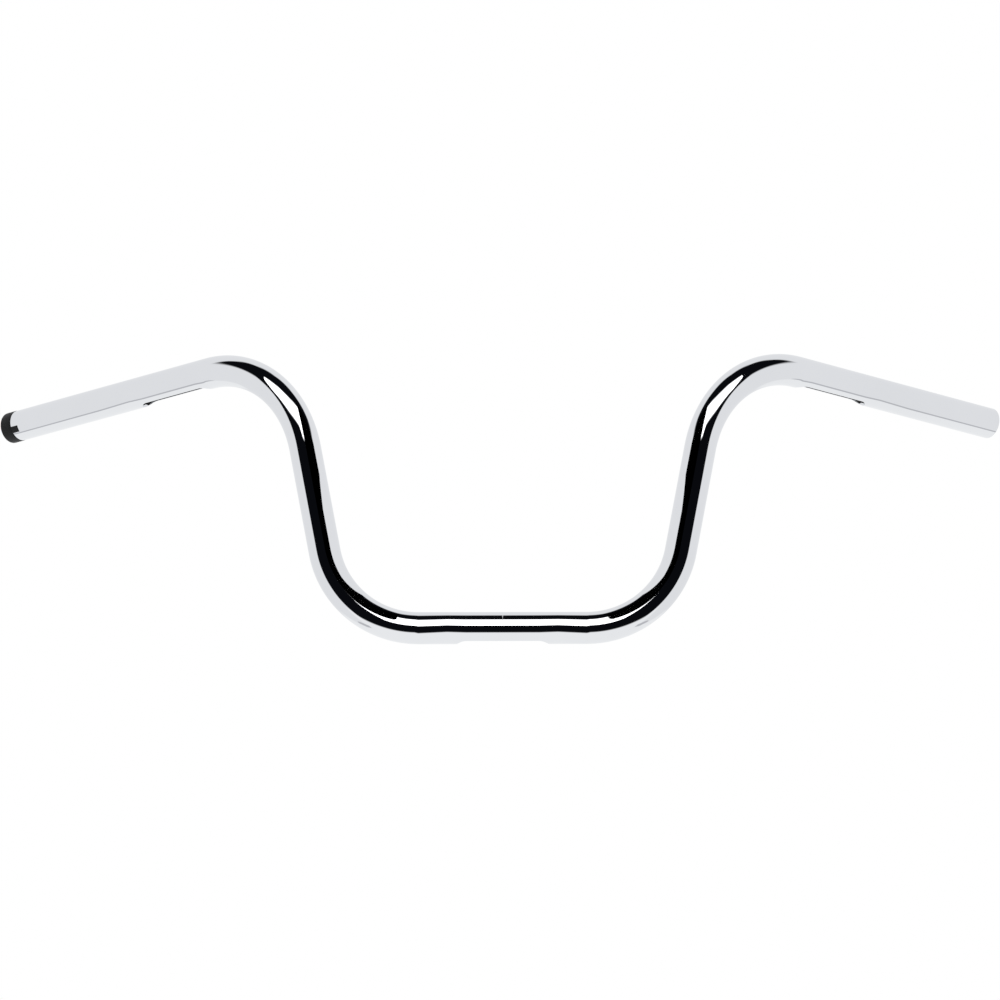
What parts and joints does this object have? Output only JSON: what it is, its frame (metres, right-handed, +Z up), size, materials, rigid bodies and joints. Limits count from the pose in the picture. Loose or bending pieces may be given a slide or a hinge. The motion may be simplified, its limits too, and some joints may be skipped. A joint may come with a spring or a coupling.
{
  "type": "handlebar",
  "caption": "Mini ape style motorcycle handlebar: one bent chromed steel tube with wiring slots in its underside and a plug in its notched throttle end.",
  "frame": {"origin": "middle of the clamp section, on the tube's axis", "axes": "+X along the clamp section towards the rider's left (clutch side), +Y rearwards to the rider, +Z up with the bar as it stands in its risers"},
  "size_m": [0.8372, 0.2399, 0.2317],
  "materials": {
    "chrome_plated_steel": "polished steel tube, nickel and bright chrome plate",
    "moulded_plastic": "black injection moulded nylon with a fine matt texture"
  },
  "bodies": {
    "bar": {"handlebar_tube": "chrome_plated_steel"},
    "end_plug": {"throttle_end_plug": "moulded_plastic"}
  },
  "joints": [
    {"name": "throttle_plug_pull", "type": "slide", "parent": "bar", "child": "end_plug", "axis": [-0.8087, 0.5558, -0.1927], "range_m": [0, 0.03]}
  ]
}
